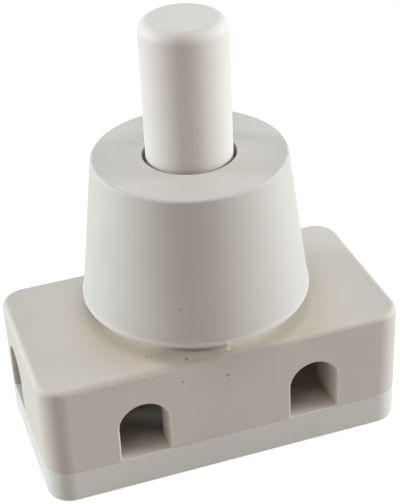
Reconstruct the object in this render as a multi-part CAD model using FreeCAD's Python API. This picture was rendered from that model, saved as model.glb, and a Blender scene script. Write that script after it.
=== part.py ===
import FreeCAD, Part
import math
import os
from FreeCAD import Vector

# Push-on push-off lamp switch. Millimetres, +Z up along the push rod, front face at -Y,
# origin in the middle of the underside. Parts are drawn at rest: rod out, contacts closed.

# Outer block
BODY_L = 33.0
BODY_W = 16.93
BODY_TOP = 11.87
CORNER_R = 2.2
EDGE_R = 0.5
FOOT_R = 0.3
SEAM = 0.06
WALL = 2.0
ROOF_T = 1.6
COVER_T = 3.2

# Cable entries: two arches in the front wall, one in each end wall
ARCH_HALF = 2.16
ARCH_H = 5.44
ARCH_FLARE = 0.2
FLARE_DEPTH = 0.42
ROUND_PARTS = 3
ARCH_INSET = 8.65
END_ARCH_INSET = 5.1
RIB_T = 1.0
RIB_DEPTH = 2.6

# Neck and the collar screwed on it
PLINTH_R = 7.4
PLINTH_H = 2.28
NECK_R = 5.0
NECK_H = 11.25
THREAD_FIT = 0.05
COLLAR_H = 13.03
COLLAR_BASE_R = 9.94
COLLAR_TOP_R = 8.37
COLLAR_WALL = 1.5
COLLAR_TOP_T = 1.6
COLLAR_TOP_EDGE = 0.25
SLEEVE_T = 1.35
LIP_H = 0.42
LIP_STEP = 0.12
LIP_FOOT = 0.15
COLLAR_RIBS = 6
COLLAR_RIB_T = 1.0
COLLAR_RIB_LIFT = 1.5
HOLE_FIT = 0.33
NIB_W = 0.3
NIB_DROP = 0.55
NIB_DEG = 267.0

# Push rod, its stroke and its guide
ROD_R = 3.7
ROD_STANDS = 12.01
ROD_EDGE = 1.0
ROD_FIT = 0.25
STROKE = 3.0
FLANGE_R = 5.0
FLANGE_T = 1.5
FLANGE_FIT = 0.3
STOP_GAP = 0.2
STOP_ROOF = 1.95
KEY_W = 1.6
KEY_REACH = 0.9
KEY_FIT = 0.15
SKIRT_T = 1.3
SPRING_BORE_R = 2.3
SPRING_ROOM = 13.5

# Ratchet: the helical faces turn the rotor by STEP_DEG over one stroke
TEETH = 8
FOLLOWERS = 4
STEP_DEG = 36.0
LEAD_DEG = 3.0
RAMP_GAP = 0.15
RAMP_PARTS = 8
CROWN_IN = 3.1
CROWN_OUT = 4.7
ROTOR_R = 4.8
ROTOR_T = 1.0
HUB_R = 2.4
HUB_H = 2.1
PIN_R = 1.0
PIN_FIT = 0.06
PIN_STANDS = 3.6
WASHER_T = 0.25
SPRING_WIRE = 0.36
SPRING_R = 1.75
SPRING_TURNS = 11

# Contacts and terminals
WELL_GAP = 0.6
WELL_FLOOR = 1.2
STRIP_T = 0.4
STRIP_W = 3.4
STRIP_PLAY = 0.15
RIVET_R = 0.8
RIVET_H = 0.35
RIVET_X = 4.1
CONTACT_GAP = 0.05
BRIDGE_T = 0.3
BRIDGE_ARM = 1.5
BRIDGE_RING = 1.3
BRIDGE_PIN_R = 0.35
BRIDGE_PIN_HEAD = 0.2
BRIDGE_PIN_DEPTH = 0.6
BRIDGE_PIN_OUT = 0.65
TERMINAL_INSET = 5.9
TERMINAL_BACK = 6.58
SCREW_R = 1.0
SCREW_HEAD_R = 1.7
SCREW_HEAD_H = 1.2
SCREW_FIT = 0.1
CLAMP_SIDE = 3.8
CLAMP_T = 0.5
SLOT_W = 0.45
SLOT_DEPTH = 0.5

# Screws that hold the cover
BOSS_R = 1.7
BOSS_INSET = 3.3
BOSS_FRONT = 2.6
TAP_R = 0.9
TAP_HEAD_R = 1.75
TAP_HEAD_H = 1.3
TAP_SUNK = 0.2
TAP_REACH = 5.4
TAP_SPARE = 2.0
TAB_L = 3.0
TAB_T = 1.0
TAB_H = 1.2
TAB_INSET = 7.5

# Places and levels that follow from the sizes above
ARCH_X = BODY_L / 2 - ARCH_INSET
END_ARCH_Y = BODY_W / 2 - END_ARCH_INSET
TERMINAL_X = BODY_L / 2 - TERMINAL_INSET
TERMINAL_Y = BODY_W / 2 - TERMINAL_BACK
TAB_X = BODY_L / 2 - TAB_INSET
PLINTH_TOP = BODY_TOP + PLINTH_H
NECK_TOP = PLINTH_TOP + NECK_H
COLLAR_TOP = PLINTH_TOP + COLLAR_H
ROD_TOP = COLLAR_TOP + ROD_STANDS
CEILING = BODY_TOP - ROOF_T
STOP_Z = PLINTH_TOP - STOP_ROOF
FLANGE_TOP = STOP_Z - STOP_GAP
FLANGE_LOW = FLANGE_TOP - FLANGE_T
RAMP = STROKE / math.radians(STEP_DEG)
RIVET_TOP = WELL_FLOOR + STRIP_T + RIVET_H
BRIDGE_LOW = RIVET_TOP + CONTACT_GAP
ROTOR_LOW = BRIDGE_LOW + BRIDGE_T
ROTOR_DECK = ROTOR_LOW + ROTOR_T
TOOTH_DEG = 360.0 / TEETH - 1.0
TOOTH_TOP = ROTOR_DECK + RAMP * math.radians(TOOTH_DEG)
HUB_TOP = ROTOR_LOW + HUB_H
WASHER_TOP = HUB_TOP + WASHER_T
BORE_TOP = FLANGE_TOP + SPRING_ROOM - FLANGE_T
SKIRT_R = FLANGE_R + FLANGE_FIT
SKIRT_LOW = FLANGE_LOW - STROKE - 0.1
WELL_R = ROTOR_R + WELL_GAP
RISER_X = WELL_R + STRIP_T
STRIP_TOP = COVER_T + STRIP_T
CLAMP_TOP = STRIP_TOP + CLAMP_T
BOSS_X = BODY_L / 2 - BOSS_INSET
BOSS_Y = BOSS_FRONT - BODY_W / 2
HEAD_SEAT = TAP_SUNK + TAP_HEAD_H


def box(x0, x1, y0, y1, z0, z1):
    """Plain block between two corners."""
    return Part.makeBox(x1 - x0, y1 - y0, z1 - z0, Vector(x0, y0, z0))


def rod(radius, z0, z1, x=0.0, y=0.0):
    """Upright cylinder."""
    return Part.makeCylinder(radius, z1 - z0, Vector(x, y, z0))


def tube(outer, inner, z0, z1, x=0.0, y=0.0):
    """Upright ring."""
    return rod(outer, z0, z1, x, y).cut(rod(inner, z0 - 1, z1 + 1, x, y))


def turned(outline):
    """Solid turned about Z from a closed outline of (radius, height) points."""
    points = [Vector(r, 0, z) for r, z in outline]
    face = Part.Face(Part.makePolygon(points + points[:1]))
    return face.revolve(Vector(0, 0, 0), Vector(0, 0, 1), 360)


def edges_at(shape, height):
    """Edges that lie flat at one height."""
    found = []
    for edge in shape.Edges:
        low = edge.BoundBox.ZMin
        high = edge.BoundBox.ZMax
        if abs(low - height) < 1e-4 and abs(high - height) < 1e-4:
            found.append(edge)
    return found


def rounded_block(length, width, radius, z0, z1):
    """Upright block with round vertical corners."""
    block = box(-length / 2, length / 2, -width / 2, width / 2, z0, z1)
    upright = [e for e in block.Edges if e.BoundBox.ZLength > (z1 - z0) / 2]
    return block.makeFillet(radius, upright)


def mirrored(shape):
    """The same piece on the other side of the middle."""
    return shape.mirror(Vector(0, 0, 0), Vector(1, 0, 0))


def arch_wire(half, height, depth):
    """Arch outline at one depth behind the wall face, its foot below the seam."""
    foot = COVER_T - 1.0
    spring = COVER_T + height - half
    a = Vector(-half, depth, foot)
    b = Vector(half, depth, foot)
    c = Vector(half, depth, spring)
    d = Vector(-half, depth, spring)
    crown = Part.Arc(c, Vector(0, depth, spring + half), d).toShape()
    sides = [Part.makeLine(a, b), Part.makeLine(b, c), crown, Part.makeLine(d, a)]
    return Part.Wire(sides)


def arch_cutter():
    """Arched entry through one wall with a rounded mouth, face at y = 0, running to +Y."""
    hole = Part.Face(arch_wire(ARCH_HALF, ARCH_H, -WALL / 2)).extrude(Vector(0, WALL * 1.75, 0))
    rings = []
    for i in range(ROUND_PARTS + 1):
        turn = math.radians(90.0 * i / ROUND_PARTS)
        out = ARCH_FLARE * (1 - math.sin(turn))
        depth = FLARE_DEPTH * (1 - math.cos(turn))
        rings.append(arch_wire(ARCH_HALF + out, ARCH_H + out, depth))
    return hole.fuse(Part.makeLoft(rings, True, True))


def entry_cutters():
    """Both front entries and both end entries."""
    cutters = []
    for side in (-1, 1):
        front = arch_cutter()
        front.translate(Vector(side * ARCH_X, -BODY_W / 2, 0))
        cutters.append(front)
        end = arch_cutter()
        end.rotate(Vector(0, 0, 0), Vector(0, 0, 1), side * 90)
        end.translate(Vector(side * BODY_L / 2, END_ARCH_Y, 0))
        cutters.append(end)
    return cutters


def helical_tooth(flat_z, start_deg, start_z, end_deg, end_z):
    """Ring-segment tooth: one side flat, the other a helical face between two heights."""
    stations = []
    for i in range(RAMP_PARTS + 1):
        part = i / RAMP_PARTS
        angle = math.radians(start_deg + (end_deg - start_deg) * part)
        z = start_z + (end_z - start_z) * part
        ways = [Vector(math.cos(angle) * r, math.sin(angle) * r, 0) for r in (CROWN_IN, CROWN_OUT)]
        stations.append([w + Vector(0, 0, h) for h in (flat_z, z) for w in ways])
    loops = []
    for a, b in zip(stations, stations[1:]):
        loops.append((a[0], a[1], b[1], b[0]))
        loops.append((a[0], a[2], b[2], b[0]))
        loops.append((a[1], a[3], b[3], b[1]))
        loops.append((a[2], a[3], b[3]))
        loops.append((a[2], b[3], b[2]))
    for s in (stations[0], stations[-1]):
        loops.append((s[0], s[1], s[3], s[2]))
    faces = [Part.Face(Part.makePolygon(list(p) + [p[0]])) for p in loops]
    solid = Part.Solid(Part.Shell(faces))
    if solid.Volume < 0:
        solid.reverse()
    return solid


def screw(head_r, head_h, shank_r, reach, sink):
    """Slotted screw along +Z: head below z = 0 with a turned edge, shank above it."""
    head = turned([(0, -head_h), (head_r - 0.2, -head_h), (head_r, -head_h + 0.2), (head_r, 0), (0, 0)])
    shank = turned([(0, -0.2), (shank_r, -0.2), (shank_r, reach - sink),
                    (shank_r - sink, reach), (0, reach)])
    slot = box(-head_r, head_r, -SLOT_W / 2, SLOT_W / 2, -head_h - 1, -head_h + SLOT_DEPTH)
    return head.fuse(shank).cut(slot)


def housing():
    """Block with open underside, plinth, neck and the guide for the rod."""
    block = rounded_block(BODY_L, BODY_W, CORNER_R, COVER_T, BODY_TOP)
    block = block.makeFillet(EDGE_R, edges_at(block, BODY_TOP))
    block = block.makeChamfer(SEAM, edges_at(block, COVER_T))
    room = rounded_block(BODY_L - 2 * WALL, BODY_W - 2 * WALL, 0.8, COVER_T - 1, CEILING)
    body = block.cut(room)
    neck = turned([(0, BODY_TOP), (NECK_R, BODY_TOP), (NECK_R, NECK_TOP - 0.4),
                   (NECK_R - 0.4, NECK_TOP), (0, NECK_TOP)])
    adds = [rod(PLINTH_R, CEILING, PLINTH_TOP), neck]
    adds.append(rod(SKIRT_R + SKIRT_T, SKIRT_LOW, CEILING + 0.1))
    for side in (-1, 1):
        adds.append(rod(BOSS_R, COVER_T, CEILING + 0.1, side * BOSS_X, BOSS_Y))
        x0 = side * (ARCH_X + ARCH_HALF)
        x1 = x0 + side * RIB_T
        y0 = -BODY_W / 2 + WALL - 0.1
        adds.append(box(min(x0, x1), max(x0, x1), y0, y0 + RIB_DEPTH, COVER_T, CEILING + 0.1))
    body = body.multiFuse(adds)
    cuts = entry_cutters()
    cuts.append(rod(ROD_R + ROD_FIT, 0, NECK_TOP + 1))
    cuts.append(rod(SKIRT_R, 0, STOP_Z))
    key_r = FLANGE_R + KEY_REACH + FLANGE_FIT
    key_w = KEY_W / 2 + KEY_FIT
    cuts.append(box(-key_w, key_w, -key_r, key_r, SKIRT_LOW - 1, STOP_Z))
    for side in (-1, 1):
        cuts.append(rod(TAP_R, 0, HEAD_SEAT + TAP_REACH + TAP_SPARE, side * BOSS_X, BOSS_Y))
    return body.cut(Part.makeCompound(cuts)).removeSplitter()


def base_cover():
    """Bottom plate with the rotor well, the strip channels and the screw holes."""
    plate = rounded_block(BODY_L, BODY_W, CORNER_R, 0, COVER_T)
    plate = plate.makeChamfer(SEAM, edges_at(plate, COVER_T))
    plate = plate.makeFillet(FOOT_R, edges_at(plate, 0))
    half = STRIP_W / 2 + STRIP_PLAY
    far = RISER_X + STRIP_PLAY
    cuts = [rod(WELL_R, WELL_FLOOR, COVER_T + 1)]
    cuts.append(box(-far, far, -half, half, WELL_FLOOR, COVER_T + 1))
    for side in (-1, 1):
        cuts.append(rod(SCREW_R + SCREW_FIT, WELL_FLOOR + 0.2, COVER_T + 1, side * TERMINAL_X, TERMINAL_Y))
        cuts.append(rod(TAP_R + SCREW_FIT, -1, COVER_T + 1, side * BOSS_X, BOSS_Y))
        cuts.append(rod(TAP_HEAD_R + 0.25, -1, HEAD_SEAT, side * BOSS_X, BOSS_Y))
    plate = plate.cut(Part.makeCompound(cuts))
    adds = [rod(HUB_R - 0.4, WELL_FLOOR - 0.2, ROTOR_LOW - CONTACT_GAP)]
    back = BODY_W / 2 - WALL - 0.2
    for side in (-1, 1):
        left = side * TAB_X - TAB_L / 2
        adds.append(box(left, left + TAB_L, back - TAB_T, back, COVER_T - 0.2, COVER_T + TAB_H))
    return plate.multiFuse(adds).cut(rod(PIN_R, 0.4, BODY_TOP)).removeSplitter()


def collar():
    """Conical screw collar: lipped skirt, top with the rod hole, threaded sleeve, ribs."""
    low = PLINTH_TOP
    lip = COLLAR_BASE_R + LIP_STEP
    cone = turned([(0, low), (lip, low), (lip, low + LIP_FOOT), (COLLAR_BASE_R, low + LIP_H),
                   (COLLAR_TOP_R, COLLAR_TOP), (0, COLLAR_TOP)])
    cone = cone.makeFillet(COLLAR_TOP_EDGE, edges_at(cone, COLLAR_TOP))
    under = COLLAR_TOP - COLLAR_TOP_T
    sleeve_r = NECK_R + THREAD_FIT
    hollow = turned([(sleeve_r + SLEEVE_T, low - 1), (COLLAR_BASE_R - COLLAR_WALL, low - 1),
                     (COLLAR_BASE_R - COLLAR_WALL, low + LIP_H),
                     (COLLAR_TOP_R - COLLAR_WALL, under), (sleeve_r + SLEEVE_T, under)])
    for i in range(COLLAR_RIBS):
        rib = box(0, COLLAR_BASE_R, -COLLAR_RIB_T / 2, COLLAR_RIB_T / 2, low + COLLAR_RIB_LIFT, COLLAR_TOP)
        rib.rotate(Vector(0, 0, 0), Vector(0, 0, 1), 360 / COLLAR_RIBS * (i + 0.5))
        hollow = hollow.cut(rib)
    nib = box(lip - 0.4, lip + 0.06, -NIB_W / 2, NIB_W / 2, low - NIB_DROP, low + LIP_FOOT)
    nib.rotate(Vector(0, 0, 0), Vector(0, 0, 1), NIB_DEG)
    body = cone.cut(hollow).cut(rod(sleeve_r, low - 1, under))
    return body.cut(rod(ROD_R + HOLE_FIT, low, COLLAR_TOP + 1)).fuse(nib).removeSplitter()


def push_button():
    """Rod with rounded top, stop flange, two guide keys and the driving teeth."""
    stem = turned([(SPRING_BORE_R, FLANGE_LOW), (FLANGE_R, FLANGE_LOW), (FLANGE_R, FLANGE_TOP),
                   (ROD_R, FLANGE_TOP), (ROD_R, ROD_TOP), (0, ROD_TOP), (0, BORE_TOP),
                   (SPRING_BORE_R, BORE_TOP)])
    stem = stem.makeFillet(ROD_EDGE, edges_at(stem, ROD_TOP))
    reach = FLANGE_R + KEY_REACH
    keys = box(-KEY_W / 2, KEY_W / 2, -reach, reach, FLANGE_LOW, FLANGE_TOP)
    adds = [keys.cut(rod(FLANGE_R - 0.5, FLANGE_LOW - 1, FLANGE_TOP + 1))]
    tip = TOOTH_TOP - RAMP * math.radians(LEAD_DEG) + RAMP_GAP
    inside = FLANGE_LOW + 0.2
    span = math.degrees((FLANGE_LOW + 0.1 - tip) / RAMP)
    for i in range(FOLLOWERS):
        angle = 360.0 / FOLLOWERS * i + LEAD_DEG
        adds.append(helical_tooth(inside, angle - span, FLANGE_LOW + 0.1, angle, tip))
    return stem.multiFuse(adds).removeSplitter()


def ratchet_rotor():
    """Disc on the pin with a crown of helical teeth."""
    disc = rod(ROTOR_R, ROTOR_LOW, ROTOR_DECK).fuse(rod(HUB_R, ROTOR_LOW, HUB_TOP))
    teeth = []
    for i in range(TEETH):
        angle = 360.0 / TEETH * i
        teeth.append(helical_tooth(ROTOR_DECK - 0.3, angle, TOOTH_TOP, angle + TOOTH_DEG, ROTOR_DECK))
    body = disc.multiFuse(teeth).cut(rod(PIN_R + PIN_FIT, 0, BODY_TOP))
    for x, y in bridge_pins():
        body = body.cut(rod(BRIDGE_PIN_R, 0, ROTOR_LOW + BRIDGE_PIN_DEPTH, x, y))
    return body.removeSplitter()


def bridge_pins():
    """Places of the four rivets between the arms of the bridge."""
    reach = HUB_R + BRIDGE_PIN_OUT
    turns = [math.radians(45 + 90 * i) for i in range(4)]
    return [(reach * math.cos(t), reach * math.sin(t)) for t in turns]


def contact_bridge():
    """Four-armed contact spring plate under the rotor."""
    plate = rod(HUB_R + BRIDGE_RING, BRIDGE_LOW, ROTOR_LOW)
    for turn in (0, 90):
        arm = box(-ROTOR_R, ROTOR_R, -BRIDGE_ARM / 2, BRIDGE_ARM / 2, BRIDGE_LOW, ROTOR_LOW)
        arm.rotate(Vector(0, 0, 0), Vector(0, 0, 1), turn)
        plate = plate.fuse(arm)
    plate = plate.common(rod(ROTOR_R, 0, BODY_TOP)).cut(rod(HUB_R - 0.1, 0, BODY_TOP))
    for x, y in bridge_pins():
        plate = plate.cut(rod(BRIDGE_PIN_R, 0, BODY_TOP, x, y))
    return plate.removeSplitter()


def bridge_rivets():
    """Four rivets that hold the bridge to the rotor."""
    rivets = []
    for x, y in bridge_pins():
        head = rod(BRIDGE_PIN_R + BRIDGE_PIN_HEAD, BRIDGE_LOW - BRIDGE_PIN_HEAD, BRIDGE_LOW, x, y)
        rivets.append(head.fuse(rod(BRIDGE_PIN_R, BRIDGE_LOW - 0.1, ROTOR_LOW + BRIDGE_PIN_DEPTH, x, y)))
    return Part.makeCompound(rivets)


def rotor_pin():
    """Steel pin pressed into the cover."""
    top = WASHER_TOP + PIN_STANDS
    return turned([(0, 0.4), (PIN_R, 0.4), (PIN_R, top - 0.3), (PIN_R - 0.3, top), (0, top)])


def thrust_washer():
    """Washer between the rotor hub and the spring."""
    return tube(HUB_R - 0.1, PIN_R + PIN_FIT, HUB_TOP, WASHER_TOP)


def return_spring():
    """Wire spring, six-sided wire, from the washer to the top of the bore in the rod."""
    low = WASHER_TOP + SPRING_WIRE / 2
    high = BORE_TOP - SPRING_WIRE / 2
    pitch = (high - low) / SPRING_TURNS
    path = Part.Wire(Part.makeHelix(pitch, high - low, SPRING_R))
    rise = Vector(0, 2 * math.pi * SPRING_R, pitch).normalize()
    across = rise.cross(Vector(1, 0, 0)) * (SPRING_WIRE / 2)
    along = Vector(SPRING_WIRE / 2, 0, 0)
    turns = [math.radians(60 * i) for i in range(7)]
    spots = [along * math.cos(t) + across * math.sin(t) for t in turns]
    ring = Part.makePolygon([Vector(SPRING_R, 0, 0) + s for s in spots])
    coil = path.makePipeShell([ring], True, True)
    coil.translate(Vector(0, 0, low))
    return coil


def terminal_square(side, z0, z1):
    """Square plate around the right-hand terminal screw."""
    x0 = TERMINAL_X - side / 2
    y0 = TERMINAL_Y - side / 2
    return box(x0, x0 + side, y0, y0 + side, z0, z1)


def terminal_strip():
    """Right-hand brass strip: contact foot in the well, riser, terminal plate on the cover."""
    half = STRIP_W / 2
    inner = RISER_X - STRIP_T
    foot = box(RIVET_X - RIVET_R - 0.3, RISER_X, -half, half, WELL_FLOOR, WELL_FLOOR + STRIP_T)
    riser = box(inner, RISER_X, -half, half, WELL_FLOOR, STRIP_TOP)
    lead = box(inner, TERMINAL_X - CLAMP_SIDE / 3, -half, half, COVER_T, STRIP_TOP)
    pad = terminal_square(CLAMP_SIDE + 0.4, COVER_T, STRIP_TOP)
    plate = foot.multiFuse([riser, lead, pad])
    return plate.cut(rod(SCREW_R, 0, BODY_TOP, TERMINAL_X, TERMINAL_Y)).removeSplitter()


def contact_rivet():
    """Right-hand contact: low dome on the foot of the strip."""
    foot = WELL_FLOOR + STRIP_T
    dome = rod(RIVET_R, foot, RIVET_TOP, RIVET_X, 0)
    return dome.makeChamfer(RIVET_H * 0.6, edges_at(dome, RIVET_TOP))


def clamp_washer():
    """Right-hand square plate that presses the wire."""
    plate = terminal_square(CLAMP_SIDE, STRIP_TOP, CLAMP_TOP)
    return plate.cut(rod(SCREW_R, 0, BODY_TOP, TERMINAL_X, TERMINAL_Y))


def terminal_screw():
    """Right-hand terminal screw, head up."""
    body = screw(SCREW_HEAD_R, SCREW_HEAD_H, SCREW_R, CLAMP_TOP - WELL_FLOOR - 0.4, 0.2)
    body.rotate(Vector(0, 0, 0), Vector(1, 0, 0), 180)
    body.translate(Vector(TERMINAL_X, TERMINAL_Y, CLAMP_TOP))
    return body


def cover_screw(side):
    """Screw from below through the cover into the boss."""
    body = screw(TAP_HEAD_R, TAP_HEAD_H, TAP_R, TAP_REACH, 0.6)
    body.translate(Vector(side * BOSS_X, BOSS_Y, HEAD_SEAT))
    return body


def all_parts():
    """Every piece by node name."""
    parts = {
        "housing": housing(),
        "base_cover": base_cover(),
        "collar": collar(),
        "push_button": push_button(),
        "return_spring": return_spring(),
        "ratchet_rotor": ratchet_rotor(),
        "rotor_pin": rotor_pin(),
        "thrust_washer": thrust_washer(),
        "contact_bridge": contact_bridge(),
        "bridge_rivets": bridge_rivets(),
        "cover_screw_left": cover_screw(-1),
        "cover_screw_right": cover_screw(1),
    }
    pairs = {"terminal_strip": terminal_strip, "contact_rivet": contact_rivet,
             "clamp_washer": clamp_washer, "terminal_screw": terminal_screw}
    for name, make in pairs.items():
        piece = make()
        parts[name + "_right"] = piece
        parts[name + "_left"] = mirrored(piece)
    return parts


os.makedirs("parts", exist_ok=True)
for node, shape in all_parts().items():
    shape.exportStep("parts/" + node + ".step")
    print(node, "valid", shape.isValid(), "solids", len(shape.Solids), "volume", round(shape.Volume, 2))
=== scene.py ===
import math

import bpy
import numpy as np
from bpy.props import FloatProperty, FloatVectorProperty, IntProperty, PointerProperty
from mathutils import Matrix, Vector


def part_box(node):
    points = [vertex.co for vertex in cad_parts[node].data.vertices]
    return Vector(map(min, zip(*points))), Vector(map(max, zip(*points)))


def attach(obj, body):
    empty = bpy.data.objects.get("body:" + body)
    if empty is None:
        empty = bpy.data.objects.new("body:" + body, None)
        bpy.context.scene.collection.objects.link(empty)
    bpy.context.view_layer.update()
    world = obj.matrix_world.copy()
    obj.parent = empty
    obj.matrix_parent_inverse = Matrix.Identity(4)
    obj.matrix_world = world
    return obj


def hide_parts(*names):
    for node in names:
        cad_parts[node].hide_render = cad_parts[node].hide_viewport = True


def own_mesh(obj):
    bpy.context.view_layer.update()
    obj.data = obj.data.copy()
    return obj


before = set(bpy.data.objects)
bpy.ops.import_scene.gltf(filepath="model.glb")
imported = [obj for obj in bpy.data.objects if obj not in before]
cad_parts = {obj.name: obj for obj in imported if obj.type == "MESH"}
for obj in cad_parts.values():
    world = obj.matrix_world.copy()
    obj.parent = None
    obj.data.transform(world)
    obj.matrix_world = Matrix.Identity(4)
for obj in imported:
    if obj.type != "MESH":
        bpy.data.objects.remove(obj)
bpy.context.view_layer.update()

bl_info = {
    "name": "Push lamp switch",
    "version": (1, 0, 0),
    "blender": (4, 5, 0),
    "location": "3D View > Sidebar > Switch",
    "description": "Finishes, return spring, rivets and studio for a push on push off lamp switch",
    "category": "Object",
}

# Millimetres: top and front of the block, the stretch where neck and collar are threaded, the radii
# of that thread, and the right-hand jambs of the front entries along X
BODY_TOP_Z = 11.87
FRONT_Y = -8.46
THREAD_Z = (14.35, 25.1)
NECK_R = 5.0
COLLAR_BORE_R = 5.05
JAMBS_X = (-5.69, 10.01)

# Millimetres: pitch and depth of the threads on the neck and on the screws, and the heights of the
# screws' heads
NECK_PITCH, NECK_DEPTH = 1.0, 0.4
SCREW_PITCH, SCREW_DEPTH = 0.45, 0.25
TERMINAL_HEAD, COVER_HEAD = 1.25, 1.35

# Metres: height of the floor, and the point at which the lights aim
FLOOR_Z = -0.00002
LIGHT_AIM = (0.0, 0.0, 0.018)

# Points on a turn of the spring, points round a rivet, and cells along a side of the floor
COIL_STEPS = 40
RIVET_SIDES = 32
FLOOR_CELLS = 12

# Shares of a rivet head's radius at which its dome is drawn, from the flat middle to the edge
DOME_SHARES = (0.3, 0.5, 0.7, 0.85, 0.95, 1.0)

# Edges that turn by more than this stay crisp on the drawn pieces
CRISP_ANGLE = math.radians(50)

# Height of the picture on the sensor in millimetres; height and focal length in pixels
SENSOR_HEIGHT = 36.0
PICTURE_HEIGHT = 504.0
FOCAL_LENGTH = 1313.017

# Small marks by node, specks of use and one painted highlight: place in millimetres, radius, and how
# # dark (or light, below zero)
MARKS = {
    "housing": [
        ((-0.16, FRONT_Y, 9.72), 0.20, 0.55),
        ((-0.14, FRONT_Y, 9.12), 0.14, 0.25),
        ((-0.12, FRONT_Y, 8.10), 0.16, 0.2),
        ((-4.21, FRONT_Y, 10.14), 0.17, 0.45),
        ((2.08, FRONT_Y, 7.20), 0.13, 0.15),
        ((-3.58, -7.74, BODY_TOP_Z), 0.21, 0.75),
        ((-6.62, -6.17, BODY_TOP_Z), 0.17, 0.3),
    ],
    # On the collar a dark speck, and a pale painted highlight at the front of the rim
    "collar": [((-4.10, -8.63, 17.66), 0.16, 0.4), ((-0.53, -10.08, 13.85), 0.75, -0.9)],
    "base_cover": [((5.84, FRONT_Y, 2.99), 0.2, -0.6)],
}

# White of the painted light under the collar, on its hollow underside and on the entries' jambs, and
# white of pale specks and of the painted highlight on the collar's rim
PAINTED_LIGHT_WHITE = (0.93, 0.87, 0.78, 1.0)
PALE_SPECK_AND_HIGHLIGHT = (0.9, 0.9, 0.87, 1.0)

# Shares of red, green and blue left by the painted shade and soiling at the collar's foot, and shares
# of the inside colour left in the painted shade inside the cover
SHADE_AND_SOIL_SHARES = (0.95, 0.92, 0.87)
COVER_SHADE_SHARES = (0.86, 0.93, 0.93)

# Floor as the camera sees it: its own glow near the switch, its glow far off, and what takes light
FLOOR_GLOW = (0.82, 0.82, 0.82, 1.0)
WHITE = (1.0, 1.0, 1.0, 1.0)
FLOOR_LIT = (0.35, 0.35, 0.35, 1.0)

# Soft lights: name, turn from the camera and height angle in degrees, side in metres, power in
# watts, colour
LIGHTS = [
    ("left_light", -100.0, 12.0, 0.14, 1.60, (0.90, 1.0, 0.98)),
    ("left_front_light", -88.0, 12.0, 0.14, 0.42, (0.90, 1.0, 0.98)),
    ("right_light", 100.0, 12.0, 0.14, 1.48, (0.92, 1.0, 0.98)),
    ("right_front_light", 84.0, 12.0, 0.14, 0.68, (0.92, 1.0, 0.98)),
    ("front_light", 0.0, 74.0, 0.3, 1.08, (1.0, 0.86, 0.82)),
    ("top_light", 180.0, 76.0, 0.3, 0.45, (0.65, 1.0, 1.0)),
]


class Value:
    """One output socket of a material; arithmetic on it adds Math nodes to that material."""

    def __init__(self, finish, socket):
        self.finish = finish
        self.socket = socket

    def math(self, operation, first, second=0.0):
        return self.finish.node("ShaderNodeMath", {"operation": operation}, {0: first, 1: second})

    def __add__(self, other):
        return self.math("ADD", self, other)

    def __radd__(self, other):
        return self.math("ADD", other, self)

    def __sub__(self, other):
        return self.math("SUBTRACT", self, other)

    def __rsub__(self, other):
        return self.math("SUBTRACT", other, self)

    def __mul__(self, other):
        return self.math("MULTIPLY", self, other)

    def __rmul__(self, other):
        return self.math("MULTIPLY", other, self)

    def __truediv__(self, other):
        return self.math("DIVIDE", self, other)

    def __abs__(self):
        return self.math("ABSOLUTE", self)

    def turn(self, other):
        """Angle of the point (self, other) in turns, from minus a half to a half."""
        return self.math("ARCTAN2", other, self) / (2 * math.pi)

    def wave(self):
        """Up and down once for each whole step of the value: 0 at whole numbers, 1 between them."""
        return 1.0 - abs(2.0 * self.math("FRACT", self) - 1.0)

    def step(self, low, high):
        """Rises smoothly from 0 at low to 1 at high; falls where low is above high."""
        sizes = {"From Min": min(low, high), "From Max": max(low, high)}
        ends = {"To Min": 0.0, "To Max": 1.0} if low < high else {"To Min": 1.0, "To Max": 0.0}
        settings = {"interpolation_type": "SMOOTHSTEP", "clamp": True}
        return self.finish.node("ShaderNodeMapRange", settings, {"Value": self, **sizes, **ends})


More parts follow.
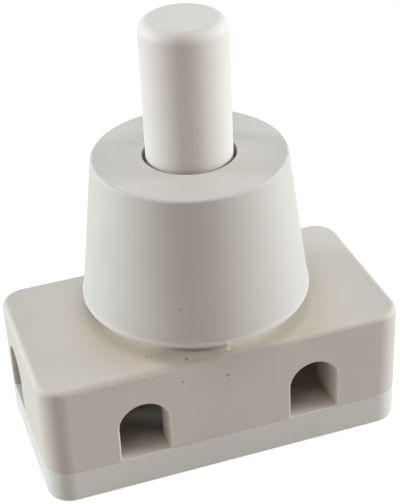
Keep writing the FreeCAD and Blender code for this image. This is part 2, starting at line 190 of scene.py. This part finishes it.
class Finish:
    """A material in the making."""

    def __init__(self, name):
        self.material = bpy.data.materials.new(name)
        self.material.use_nodes = True
        self.tree = self.material.node_tree
        self.tree.nodes.clear()
        here = self.node("ShaderNodeTexCoord", output="Object")
        scale = {"operation": "SCALE"}
        self.mm = self.node("ShaderNodeVectorMath", scale, {0: here, "Scale": 1000.0})
        apart = self.tree.nodes.new("ShaderNodeSeparateXYZ")
        self.tree.links.new(self.mm.socket, apart.inputs[0])
        self.x, self.y, self.z = (Value(self, s) for s in apart.outputs)

    def node(self, kind, settings=None, inputs=None, output=0):
        """Adds any node: its settings are set first, then its sockets get values or links."""
        made = self.tree.nodes.new(kind)
        for key, value in (settings or {}).items():
            setattr(made, key, value)
        for key, value in (inputs or {}).items():
            if isinstance(value, Value):
                self.tree.links.new(value.socket, made.inputs[key])
            else:
                made.inputs[key].default_value = value
        return Value(self, made.outputs[output]) if len(made.outputs) else None

    def noise(self, per_mm, detail=2.0, rough=0.5, where=None):
        """Soft random field between 0 and 1 with that many features to a millimetre."""
        sockets = {"Vector": where or self.mm, "Scale": per_mm,
                   "Detail": detail, "Roughness": rough}
        return self.node("ShaderNodeTexNoise", {"noise_dimensions": "3D"}, sockets, "Fac")

    def stretched(self, scale):
        """Place in millimetres, pulled along one way."""
        sockets = {"Vector": self.mm, "Scale": scale}
        return self.node("ShaderNodeMapping", {"vector_type": "POINT"}, sockets)

    def distance(self, first, second):
        """Distance between two points."""
        settings = {"operation": "DISTANCE"}
        return self.node("ShaderNodeVectorMath", settings, {0: first, 1: second}, "Value")

    def near(self, place, radius):
        """1 at a place and 0 beyond the radius, all in millimetres."""
        away = self.distance(self.mm, place)
        return away.step(radius, radius * 0.35)

    def mix(self, factor, first, second):
        """Blend of two colours."""
        settings = {"data_type": "RGBA", "blend_type": "MIX", "clamp_factor": True}
        return self.node("ShaderNodeMix", settings, {0: factor, 6: first, 7: second}, 2)

    def spread(self, x=0.0, y=0.0):
        """Distance from an upright line at (x, y), in millimetres."""
        flat = self.node("ShaderNodeCombineXYZ", {}, {0: self.x, 1: self.y})
        return self.distance(flat, (x, y, 0.0))

    def thread(self, x, y, pitch):
        """Height of a screw thread about an upright line: a wave of turn plus rise over pitch."""
        return (self.z / pitch + (self.x - x).turn(self.y - y)).wave()

    def bump(self, height, strength, depth_mm, under=None):
        """Surface relief from a height field, on top of another relief where one is given."""
        sockets = {"Strength": strength, "Distance": depth_mm / 1000.0, "Height": height}
        if under is not None:
            sockets["Normal"] = under
        return self.node("ShaderNodeBump", {}, sockets)

    def surface(self, **sockets):
        """Ends the material in one plain surface shader and returns the material."""
        named = {key.replace("_", " "): value for key, value in sockets.items()}
        shader = self.node("ShaderNodeBsdfPrincipled", {}, named)
        self.node("ShaderNodeOutputMaterial", {}, {"Surface": shader})
        return self.material


def rgba(colour, level=1.0):
    """A colour as four numbers, lightened or darkened by one factor."""
    return tuple(c * level for c in colour[:3]) + (1.0,)


def tinted(colour, shares):
    """A colour with each of its three parts lowered by its own share."""
    return tuple(c * share for c, share in zip(colour, shares))


def dress(node, material):
    """Puts one material on a CAD node."""
    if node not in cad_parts:
        raise RuntimeError("no node named " + node)
    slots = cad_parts[node].data.materials
    slots.clear()
    slots.append(material)


def grid_object(name, grids, material, body):
    """Closed tubes from grids: rows run along the path, columns go round, and both ends get a flat
    cap."""
    loops, starts, above, used = [], [], 0, 0
    for points in grids:
        rows, columns = points.shape[:2]
        row, column = np.meshgrid(np.arange(rows - 1), np.arange(columns), indexing="ij")
        after = (column + 1) % columns
        quads = np.stack([row * columns + column, row * columns + after,
                          (row + 1) * columns + after, (row + 1) * columns + column], axis=-1)
        first = np.arange(columns)[::-1]
        last = (rows - 1) * columns + np.arange(columns)
        loops.append(above + np.concatenate([quads.reshape(-1), first, last]))
        starts.append(used + np.arange(quads.size // 4) * 4)
        starts.append(used + np.array([quads.size, quads.size + columns]))
        above += rows * columns
        used += quads.size + 2 * columns
    loops = np.concatenate(loops).astype(np.int32)
    starts = np.concatenate(starts).astype(np.int32)
    mesh = bpy.data.meshes.new(name)
    mesh.vertices.add(above)
    places = np.concatenate([points.reshape(-1) for points in grids]).astype(np.float32)
    mesh.vertices.foreach_set("co", places)
    mesh.loops.add(len(loops))
    mesh.loops.foreach_set("vertex_index", loops)
    mesh.polygons.add(len(starts))
    mesh.polygons.foreach_set("loop_start", starts)
    mesh.polygons.foreach_set("use_smooth", np.ones(len(starts), dtype=bool))
    mesh.update(calc_edges=True)
    mesh.validate()
    mesh.set_sharp_from_angle(angle=CRISP_ANGLE)
    mesh.materials.append(material)
    made = bpy.data.objects.new(name, mesh)
    bpy.context.scene.collection.objects.link(made)
    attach(made, body)
    return made


def coil_points(wire, radius, low, high, turns, closed, around, along):
    """Round wire wound on a cylinder. The path at turn t is (radius cos t, radius sin t, z(t)),
    where z rises by one wire thickness a turn over the closed end turns and evenly between them;
    the wire's circle lies across the path. Metres."""
    t = np.linspace(0.0, turns * 2 * np.pi, along)
    share = t / (2 * np.pi)
    ends = np.clip(share, 0, closed) + np.clip(share - (turns - closed), 0, closed)
    middle = np.clip(share - closed, 0, turns - 2 * closed)
    pitch = (high - low - wire - 2 * closed * wire) / (turns - 2 * closed)
    z = low + wire / 2 + ends * wire + middle * pitch
    path = np.stack([radius * np.cos(t), radius * np.sin(t), z], axis=-1)
    tangent = np.gradient(path, axis=0)
    tangent /= np.linalg.norm(tangent, axis=1, keepdims=True)
    out = np.stack([np.cos(t), np.sin(t), np.zeros_like(t)], axis=-1)
    up = np.cross(tangent, out)
    up /= np.linalg.norm(up, axis=1, keepdims=True)
    a = np.linspace(0.0, 2 * np.pi, around, endpoint=False)
    ring = (np.cos(a)[None, :, None] * out[:, None, :]
            + np.sin(a)[None, :, None] * up[:, None, :])
    return path[:, None, :] + wire / 2 * ring


def turned_points(profile, x, y, around):
    """Piece turned about an upright line at (x, y): (x + r cos a, y + r sin a, z) for each pair
    (r, z) of the profile, from below upwards. Metres."""
    a = np.linspace(0.0, 2 * np.pi, around, endpoint=False)
    r, z = (np.array(column)[:, None] for column in zip(*profile))
    return np.stack([x + r * np.cos(a), y + r * np.sin(a), z + 0.0 * a], axis=-1)


def moulded_plastic(name, colour, shade, inside, marks=(), inner_shade=None, shade_and_soil=None, painted_light=None,
                    thread_r=0.0):
    """Satin moulded plastic: slow clouding, faint flow streaks, fine texture, small marks, painted
    shade inside, a zone of painted shade and soiling and a zone of painted light where they are given,
    and a thread on the face of that radius."""
    f = Finish(name)
    cloud = f.noise(0.11, 3.0)
    flow = f.noise(0.5, 2.0, where=f.stretched((0.35, 1.0, 0.2)))
    grain = f.noise(7.0, 3.0, 0.6)
    tone = 0.5 * cloud + 0.3 * flow + 0.2 * grain
    base = f.mix(tone.step(0.25, 0.75), rgba(colour, 0.965), rgba(colour, 1.02))
    pits = f.noise(2.6, 1.0).step(0.74, 0.80)
    base = f.mix(pits * 0.10, base, rgba(shade))
    # Painted shade and soiling round the collar's foot
    if shade_and_soil is not None:
        base = f.mix(shade_and_soil(f) * (0.5 + cloud), base, rgba(tinted(colour, SHADE_AND_SOIL_SHARES)))
    # Painted light that lifts the shade under the collar and lights the jambs
    if painted_light is not None:
        base = f.mix(painted_light(f), base, PAINTED_LIGHT_WHITE)
    # Specks of use, and the pale painted highlight on the collar's rim
    for place, radius, dark in marks:
        spot = f.near(place, radius)
        base = f.mix(spot * abs(dark), base, rgba(shade) if dark > 0 else PALE_SPECK_AND_HIGHLIGHT)
    # Painted shade inside the block and the cover, darker further in
    if inner_shade is not None:
        base = f.mix(inner_shade(f), base, rgba(inside))
    rough = 0.45 + 0.12 * grain + 0.08 * cloud
    relief = f.bump(grain + 1.6 * flow, 0.22, 0.02)
    if thread_r:
        low, high = THREAD_Z
        zone = abs(f.spread() - thread_r).step(0.2, 0.12) * f.z.step(low - 0.2, low)
        zone = zone * f.z.step(high + 0.2, high)
        relief = f.bump(zone * f.thread(0.0, 0.0, NECK_PITCH), 1.0, NECK_DEPTH, relief)
    return f.surface(Base_Color=base, Roughness=rough, Normal=relief, Specular_IOR_Level=0.2)


def housing_inner_shade(f):
    """Painted shade: rises from 0 behind the front wall to 1 deep inside the housing; 0 on its outer
    faces.
    """
    room = abs(f.x).step(14.75, 14.55) * abs(f.y).step(6.7, 6.5) * f.z.step(10.5, 10.35)
    return room * f.y.step(-6.6, -4.2)


def cover_inner_shade(f):
    """Painted shade: rises from 0 at the cable entries to 1 in the middle of the cover's upper side.
    """
    upper = f.z.step(3.0, 3.15) * abs(f.x).step(16.0, 12.0)
    return upper * f.y.step(-9.4, -6.6) * f.y.step(7.0, 6.0)


def collar_foot_shade_and_soil(f):
    """Painted shade and soiling: 1 on the block's top at the collar's rim, fading outwards."""
    return f.spread(0.8, -0.4).step(12.9, 9.8) * f.z.step(BODY_TOP_Z - 0.4, BODY_TOP_Z - 0.1)


def under_collar_light(f):
    """Painted light: 1 on the faces at the front that the collar covers, fading to its rim, to the
    back and to a place at the front that keeps its painted shade."""
    ring = f.spread().step(10.8, 9.0) * f.z.step(BODY_TOP_Z - 0.3, BODY_TOP_Z - 0.1)
    ring = ring * f.y.step(4.0, -2.0)
    return ring * (1.0 - 0.95 * f.near((-3.0, -7.6, BODY_TOP_Z), 4.8))


def jamb_highlights(f):
    """Painted highlight: 1 on the right-hand jambs of the front entries, fading inwards."""
    left, right = (abs(f.x - x).step(0.32, 0.2) for x in JAMBS_X)
    return (left + right) * f.z.step(3.0, 3.1) * f.z.step(7.8, 6.8) * f.y.step(-6.0, -7.6)


def housing_painted_light(f):
    """1 where light is painted on the housing: under the collar and as highlights on the jambs."""
    return under_collar_light(f) + jamb_highlights(f)


def collar_underside_light(f):
    """Painted light: 1 on the hollow underside of the collar; 0 on its outer cone, lip and top."""
    return f.spread().step(9.6, 9.3) * f.z.step(16.0, 14.5)


class SwitchColours(bpy.types.PropertyGroup):
    """Colours of the switch."""

    housing: FloatVectorProperty(
        name="Housing", description="White of the block",
        subtype="COLOR", size=3, min=0.0, max=1.0, default=(0.731, 0.681, 0.648))
    cover: FloatVectorProperty(
        name="Cover", description="White of the bottom plate",
        subtype="COLOR", size=3, min=0.0, max=1.0, default=(0.793, 0.794, 0.775))
    collar: FloatVectorProperty(
        name="Collar", description="White of the screw collar",
        subtype="COLOR", size=3, min=0.0, max=1.0, default=(0.721, 0.691, 0.667))
    button: FloatVectorProperty(
        name="Button", description="White of the push rod",
        subtype="COLOR", size=3, min=0.0, max=1.0, default=(0.865, 0.823, 0.797))
    shade: FloatVectorProperty(
        name="Marks", description="Grey brown of marks and pits",
        subtype="COLOR", size=3, min=0.0, max=1.0, default=(0.17, 0.14, 0.115))
    # Colour of the painted shade inside the block; tinted, also the painted shade inside the cover
    inside: FloatVectorProperty(
        name="Inside", description="Dusty tone of the faces inside the block",
        subtype="COLOR", size=3, min=0.0, max=1.0, default=(0.65, 0.565, 0.505))
    rotor: FloatVectorProperty(
        name="Rotor", description="Dark resin of the ratchet",
        subtype="COLOR", size=3, min=0.0, max=1.0, default=(0.030, 0.026, 0.024))
    brass: FloatVectorProperty(
        name="Brass", description="Terminal strips",
        subtype="COLOR", size=3, min=0.0, max=1.0, default=(0.76, 0.56, 0.25))
    bronze: FloatVectorProperty(
        name="Bronze", description="Contact bridge",
        subtype="COLOR", size=3, min=0.0, max=1.0, default=(0.72, 0.45, 0.26))
    silver: FloatVectorProperty(
        name="Silver", description="Contact rivets",
        subtype="COLOR", size=3, min=0.0, max=1.0, default=(0.86, 0.85, 0.81))
    steel: FloatVectorProperty(
        name="Steel", description="Screws, pin and spring",
        subtype="COLOR", size=3, min=0.0, max=1.0, default=(0.58, 0.58, 0.57))


class SwitchSizes(bpy.types.PropertyGroup):
    """Sizes of the drawn pieces."""

    wire: FloatProperty(
        name="Spring wire", description="Thickness of the spring's wire",
        default=0.00036, min=0.0001, max=0.001, unit="LENGTH", precision=5)
    coil: FloatProperty(
        name="Spring radius", description="Radius at the middle of the wire",
        default=0.00175, min=0.001, max=0.003, unit="LENGTH", precision=5)
    turns: FloatProperty(
        name="Spring turns", description="Turns of the spring, closed ends included",
        default=13.0, min=4.0, max=30.0)
    closed: FloatProperty(
        name="Closed turns", description="Touching turns at each end",
        default=1.25, min=0.0, max=3.0)
    around: IntProperty(
        name="Wire sides", description="Points round the wire",
        default=12, min=6, max=48)
    rivet_reach: FloatProperty(
        name="Rivet reach", description="From the rotor's axis to the bridge's rivets",
        default=0.00305, min=0.002, max=0.004, unit="LENGTH", precision=5)
    rivet_shank: FloatProperty(
        name="Rivet shank", description="Radius of the rivets' shanks",
        default=0.00035, min=0.0001, max=0.001, unit="LENGTH", precision=5)
    rivet_head: FloatProperty(
        name="Rivet head", description="Radius of the rivets' domed heads",
        default=0.00055, min=0.0002, max=0.001, unit="LENGTH", precision=5)
    rivet_dome: FloatProperty(
        name="Rivet dome", description="Height of the rivets' domed heads",
        default=0.0002, min=0.00005, max=0.0005, unit="LENGTH", precision=5)


class SwitchStage(bpy.types.PropertyGroup):
    """Floor, light and camera."""

    floor: FloatProperty(
        name="Floor", description="Half side of the floor",
        default=1.5, unit="LENGTH")
    ambient: FloatVectorProperty(
        name="Room light", description="Light from all round",
        subtype="COLOR", size=3, min=0.0, max=1.0, default=(0.0, 0.0, 0.0))
    light_level: FloatProperty(
        name="Light level", description="Factor on the power of all lights",
        default=1.0, min=0.0, max=10.0)
    reach: FloatProperty(
        name="Light distance", description="Distance of the lights",
        default=0.5, unit="LENGTH")
    azimuth: FloatProperty(
        name="Camera turn", description="Turn of the camera round the switch",
        default=math.radians(-17.549), subtype="ANGLE")
    elevation: FloatProperty(
        name="Camera lift", description="Height angle of the camera",
        default=math.radians(32.407), subtype="ANGLE")
    roll: FloatProperty(
        name="Camera roll", description="Tilt of the picture",
        default=math.radians(-2.702), subtype="ANGLE")
    distance: FloatProperty(
        name="Camera distance", description="From the camera to its target",
        default=0.115598, unit="LENGTH", precision=6)
    target: FloatVectorProperty(
        name="Camera target", description="Point in the middle of the picture",
        default=(0.000522, 0.0, 0.017066), size=3, subtype="XYZ", unit="LENGTH")
    lens: FloatProperty(
        name="Lens", description="Focal length of the camera in millimetres",
        default=FOCAL_LENGTH / PICTURE_HEIGHT * SENSOR_HEIGHT)


class LAMPSWITCH_OT_mouldings(bpy.types.Operator):
    """Give the white mouldings their plastic"""

    bl_idname = "lampswitch.mouldings"
    bl_label = "White mouldings"

    def execute(self, context):
        c = context.scene.lampswitch_colours
        shade = tuple(c.shade)
        inside = tuple(c.inside)
        dress("housing", moulded_plastic(
            "housing_plastic", tuple(c.housing), shade, inside, MARKS["housing"],
            housing_inner_shade, collar_foot_shade_and_soil, housing_painted_light, thread_r=NECK_R))
        dress("base_cover", moulded_plastic(
            "cover_plastic", tuple(c.cover), shade, tinted(inside, COVER_SHADE_SHARES), MARKS["base_cover"],
            cover_inner_shade))
        dress("collar", moulded_plastic(
            "collar_plastic", tuple(c.collar), shade, inside, MARKS["collar"],
            painted_light=collar_underside_light, thread_r=COLLAR_BORE_R))
        dress("push_button", moulded_plastic("button_plastic", tuple(c.button), shade, inside))
        return {"FINISHED"}


class LAMPSWITCH_OT_ratchet(bpy.types.Operator):
    """Give the ratchet rotor its dark resin"""

    bl_idname = "lampswitch.ratchet"
    bl_label = "Ratchet rotor"

    def execute(self, context):
        colour = tuple(context.scene.lampswitch_colours.rotor)
        f = Finish("rotor_resin")
        filler = f.noise(3.2, 4.0, 0.6)
        worn = f.noise(0.9, 2.0).step(0.45, 0.75) * f.z.step(3.4, 5.6)
        base = f.mix(filler.step(0.35, 0.7), rgba(colour), rgba(colour, 1.9))
        base = f.mix(worn * 0.35, base, (0.11, 0.10, 0.095, 1.0))
        rough = 0.52 - 0.18 * worn + 0.1 * filler
        dress("ratchet_rotor", f.surface(Base_Color=base, Roughness=rough,
                                         Normal=f.bump(filler, 0.25, 0.02)))
        return {"FINISHED"}


def rolled_metal(name, colour, tarnish, along, rough, amount):
    """Rolled sheet metal: fine lines along one way, a soft tarnish in patches."""
    f = Finish(name)
    lines = f.noise(3.0, 3.0, 0.6, where=f.stretched(along))
    patch = f.noise(0.45, 3.0).step(0.42, 0.72)
    base = f.mix(lines.step(0.3, 0.7), rgba(colour, 0.9), rgba(colour, 1.06))
    base = f.mix(patch * amount, base, rgba(tarnish))
    level = rough + 0.14 * lines + 0.18 * patch
    relief = f.bump(lines, 0.18, 0.01)
    return f.surface(Base_Color=base, Metallic=1.0, Roughness=level, Normal=relief)


def turned_metal(name, colour, rough, x=0.0, y=0.0, shank=None):
    """Turned metal: fine rings about an upright line at (x, y), a plated bloom in patches, and a
    screw thread between two heights where a shank is given."""
    f = Finish(name)
    out = f.spread(x, y)
    rings = f.noise(6.0, 2.0, where=f.node("ShaderNodeCombineXYZ", {}, {0: out, 1: f.z * 0.4}))
    bloom = f.noise(0.8, 3.0).step(0.4, 0.75)
    base = f.mix(rings.step(0.3, 0.7), rgba(colour, 0.86), rgba(colour, 1.1))
    base = f.mix(bloom * 0.4, base, (0.50, 0.49, 0.42, 1.0))
    level = rough + 0.15 * rings + 0.15 * bloom
    relief = f.bump(rings, 0.2, 0.01)
    if shank is not None:
        along = f.z.step(shank[0] - 0.02, shank[0]) * f.z.step(shank[1] + 0.02, shank[1])
        height = along * out.step(1.2, 1.1) * f.thread(x, y, SCREW_PITCH)
        relief = f.bump(height, 1.0, SCREW_DEPTH, relief)
    return f.surface(Base_Color=base, Metallic=1.0, Roughness=level, Normal=relief)


class LAMPSWITCH_OT_contacts(bpy.types.Operator):
    """Give the contacts, terminals and screws their metals"""

    bl_idname = "lampswitch.contacts"
    bl_label = "Contacts, terminals and screws"

    def execute(self, context):
        c = context.scene.lampswitch_colours
        brass = rolled_metal("terminal_brass", tuple(c.brass), (0.42, 0.27, 0.11),
                             (0.08, 1.0, 1.0), 0.26, 0.5)
        bronze = rolled_metal("contact_bronze", tuple(c.bronze), (0.36, 0.19, 0.11),
                              (1.0, 0.08, 1.0), 0.3, 0.45)
        silver = rolled_metal("contact_silver", tuple(c.silver), (0.34, 0.31, 0.26),
                              (1.0, 1.0, 1.0), 0.3, 0.5)
        plated = rolled_metal("clamp_steel", tuple(c.steel), (0.42, 0.40, 0.33),
                              (1.0, 0.1, 1.0), 0.34, 0.4)
        for side in ("left", "right"):
            dress("terminal_strip_" + side, brass)
            dress("contact_rivet_" + side, silver)
            dress("clamp_washer_" + side, plated)
            for kind, head_up in (("terminal_screw_", True), ("cover_screw_", False)):
                low, high = (1000.0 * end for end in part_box(kind + side))
                shank = (low.z + COVER_HEAD, high.z)
                if head_up:
                    shank = (low.z, high.z - TERMINAL_HEAD)
                dress(kind + side, turned_metal(
                    kind + side + "_steel", tuple(c.steel), 0.3,
                    (low.x + high.x) / 2, (low.y + high.y) / 2, shank))
        dress("contact_bridge", bronze)
        dress("bridge_rivets", bronze)
        steel = turned_metal("pin_steel", tuple(c.steel), 0.24)
        dress("rotor_pin", steel)
        dress("thrust_washer", steel)
        dress("return_spring", steel)
        return {"FINISHED"}


class LAMPSWITCH_OT_spring(bpy.types.Operator):
    """Wind the return spring in round wire with closed ends"""

    bl_idname = "lampswitch.spring"
    bl_label = "Return spring"

    def execute(self, context):
        s = context.scene.lampswitch_sizes
        low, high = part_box("return_spring")
        points = coil_points(s.wire, s.coil, low.z, high.z, s.turns, s.closed, s.around,
                             int(s.turns * COIL_STEPS) + 1)
        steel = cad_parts["return_spring"].data.materials[0]
        spring = grid_object("return_spring_coil", [points], steel, "base")
        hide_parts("return_spring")
        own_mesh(spring)
        return {"FINISHED"}


def rivet_profile(s, low, high):
    """Pairs (r, z) of a rivet from below upwards: a low dome that falls with the root of one minus
    the square of the share of its radius, cut flat in the middle, and a straight shank. Metres."""
    flat = math.sqrt(1.0 - DOME_SHARES[0] ** 2)
    brim = low + s.rivet_dome
    profile = []
    for share in DOME_SHARES:
        drop = s.rivet_dome * math.sqrt(1.0 - share * share) / flat
        profile.append((s.rivet_head * share, brim - drop))
    return profile + [(s.rivet_shank, brim), (s.rivet_shank, high)]


class LAMPSWITCH_OT_rivets(bpy.types.Operator):
    """Turn the contact bridge's rivets with low domed heads"""

    bl_idname = "lampswitch.rivets"
    bl_label = "Bridge rivets"

    def execute(self, context):
        s = context.scene.lampswitch_sizes
        low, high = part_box("bridge_rivets")
        profile = rivet_profile(s, low.z, high.z)
        grids = []
        for quarter in range(4):
            turn = math.radians(45 + 90 * quarter)
            x, y = s.rivet_reach * math.cos(turn), s.rivet_reach * math.sin(turn)
            grids.append(turned_points(profile, x, y, RIVET_SIDES))
        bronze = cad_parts["bridge_rivets"].data.materials[0]
        rivets = grid_object("bridge_rivets_domed", grids, bronze, "rotor")
        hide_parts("bridge_rivets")
        return {"FINISHED"}


def floor_finish():
    """Pale floor: plain matt to the light, white to the camera with the shadow kept on it."""
    f = Finish("studio_floor")
    soft = f.noise(0.004, 2.0)
    pale = f.mix(soft, (0.73, 0.66, 0.63, 1.0), (0.75, 0.68, 0.65, 1.0))
    matt = f.node("ShaderNodeBsdfDiffuse", {}, {"Color": pale})
    lit = f.node("ShaderNodeBsdfDiffuse", {}, {"Color": FLOOR_LIT})
    far = f.spread().step(90.0, 420.0)
    tone = f.mix(far, FLOOR_GLOW, WHITE)
    glow = f.node("ShaderNodeEmission", {}, {"Color": tone})
    white = f.node("ShaderNodeAddShader", {}, {0: lit, 1: glow})
    seen = f.node("ShaderNodeLightPath", output="Is Camera Ray")
    shader = f.node("ShaderNodeMixShader", {}, {0: seen, 1: matt, 2: white})
    f.node("ShaderNodeOutputMaterial", {}, {"Surface": shader})
    return f.material


def lay_floor(half):
    """Square grid of that half side, at one height just under the switch."""
    side = FLOOR_CELLS + 1
    steps = np.linspace(-half, half, side)
    u, v = np.meshgrid(steps, steps, indexing="ij")
    points = np.stack([u, v, np.full_like(u, FLOOR_Z)], axis=-1).reshape(-1, 3)
    i, j = np.meshgrid(np.arange(FLOOR_CELLS), np.arange(FLOOR_CELLS), indexing="ij")
    near, far = i * side + j, (i + 1) * side + j
    faces = np.stack([near, far, far + 1, near + 1], axis=-1).reshape(-1, 4)
    mesh = bpy.data.meshes.new("studio_floor")
    mesh.from_pydata(points.tolist(), [], faces.tolist())
    mesh.materials.append(floor_finish())
    floor = bpy.data.objects.new("studio_floor", mesh)
    bpy.context.scene.collection.objects.link(floor)


def white_room(ambient):
    """World that lights with the ambient colour and is white to the camera and in reflections."""
    world = bpy.data.worlds.new("studio_room")
    world.use_nodes = True
    tree = world.node_tree
    tree.nodes.clear()
    room = tree.nodes.new("ShaderNodeBackground")
    room.inputs["Color"].default_value = rgba(ambient)
    white = tree.nodes.new("ShaderNodeBackground")
    white.inputs["Color"].default_value = WHITE
    path = tree.nodes.new("ShaderNodeLightPath")
    join = tree.nodes.new("ShaderNodeMixShader")
    end = tree.nodes.new("ShaderNodeOutputWorld")
    seen = path.outputs["Is Camera Ray"]
    for ray in ("Is Glossy Ray", "Is Transmission Ray"):
        either = tree.nodes.new("ShaderNodeMath")
        either.operation = "MAXIMUM"
        tree.links.new(seen, either.inputs[0])
        tree.links.new(path.outputs[ray], either.inputs[1])
        seen = either.outputs[0]
    tree.links.new(seen, join.inputs[0])
    tree.links.new(room.outputs[0], join.inputs[1])
    tree.links.new(white.outputs[0], join.inputs[2])
    tree.links.new(join.outputs[0], end.inputs["Surface"])
    bpy.context.scene.world = world


def direction(turn, lift):
    """Unit vector at that turn from the front and that height angle."""
    flat = math.cos(lift)
    return Vector((math.sin(turn) * flat, -math.cos(turn) * flat, math.sin(lift)))


def add_light(name, place, aim, side, power, colour):
    """Soft square light at a place, turned to its aim."""
    data = bpy.data.lights.new(name, "AREA")
    data.shape = "RECTANGLE"
    data.size = side
    data.size_y = side
    data.energy = power
    data.color = colour
    lamp = bpy.data.objects.new(name, data)
    bpy.context.scene.collection.objects.link(lamp)
    turn = (aim - place).to_track_quat("-Z", "Y").to_matrix().to_4x4()
    lamp.matrix_world = Matrix.Translation(place) @ turn


def place_camera(s):
    """Camera on the settings' target, back from it by the distance and rolled about its axis."""
    data = bpy.data.cameras.new("photo_camera")
    data.sensor_fit = "VERTICAL"
    data.sensor_height = SENSOR_HEIGHT
    data.lens = s.lens
    data.clip_start = 0.005
    data.clip_end = 10.0
    camera = bpy.data.objects.new("photo_camera", data)
    bpy.context.scene.collection.objects.link(camera)
    back = direction(s.azimuth, s.elevation)
    level = Vector((math.cos(s.azimuth), math.sin(s.azimuth), 0.0))
    over = back.cross(level)
    right = level * math.cos(s.roll) + over * math.sin(s.roll)
    up = over * math.cos(s.roll) - level * math.sin(s.roll)
    turn = Matrix((right, up, back)).transposed().to_4x4()
    camera.matrix_world = Matrix.Translation(Vector(s.target) + back * s.distance) @ turn
    bpy.context.scene.camera = camera


class LAMPSWITCH_OT_stage(bpy.types.Operator):
    """Lay the floor, set the lights and the camera"""

    bl_idname = "lampswitch.stage"
    bl_label = "Stage"

    def execute(self, context):
        s = context.scene.lampswitch_stage
        lay_floor(s.floor)
        white_room(s.ambient)
        aim = Vector(LIGHT_AIM)
        for name, turn, lift, side, power, colour in LIGHTS:
            way = direction(s.azimuth + math.radians(turn), math.radians(lift))
            add_light(name, aim + way * s.reach, aim, side, power * s.light_level, colour)
        place_camera(s)
        context.scene.view_settings.view_transform = "Standard"
        return {"FINISHED"}


class LAMPSWITCH_PT_sidebar(bpy.types.Panel):
    """Steps of the lamp switch"""

    bl_idname = "LAMPSWITCH_PT_sidebar"
    bl_label = "Push lamp switch"
    bl_space_type = "VIEW_3D"
    bl_region_type = "UI"
    bl_category = "Switch"

    def draw(self, context):
        for group in ("lampswitch_colours", "lampswitch_sizes", "lampswitch_stage"):
            settings = getattr(context.scene, group)
            box = self.layout.box()
            for key in settings.__annotations__:
                box.prop(settings, key)
        for operator in OPERATORS:
            self.layout.operator(operator.bl_idname)


GROUPS = {"lampswitch_colours": SwitchColours, "lampswitch_sizes": SwitchSizes,
          "lampswitch_stage": SwitchStage}
OPERATORS = (LAMPSWITCH_OT_mouldings, LAMPSWITCH_OT_ratchet, LAMPSWITCH_OT_contacts,
             LAMPSWITCH_OT_spring, LAMPSWITCH_OT_rivets, LAMPSWITCH_OT_stage)


def register():
    for group in GROUPS.values():
        bpy.utils.register_class(group)
    for operator in OPERATORS:
        bpy.utils.register_class(operator)
    bpy.utils.register_class(LAMPSWITCH_PT_sidebar)
    for key, group in GROUPS.items():
        setattr(bpy.types.Scene, key, PointerProperty(type=group))


def unregister():
    for key in GROUPS:
        delattr(bpy.types.Scene, key)
    bpy.utils.unregister_class(LAMPSWITCH_PT_sidebar)
    for operator in OPERATORS:
        bpy.utils.unregister_class(operator)
    for group in GROUPS.values():
        bpy.utils.unregister_class(group)


def main():
    register()
    bpy.ops.lampswitch.mouldings()
    bpy.ops.lampswitch.ratchet()
    bpy.ops.lampswitch.contacts()
    bpy.ops.lampswitch.spring()
    bpy.ops.lampswitch.rivets()
    bpy.ops.lampswitch.stage()


if __name__ == "__main__":
    main()
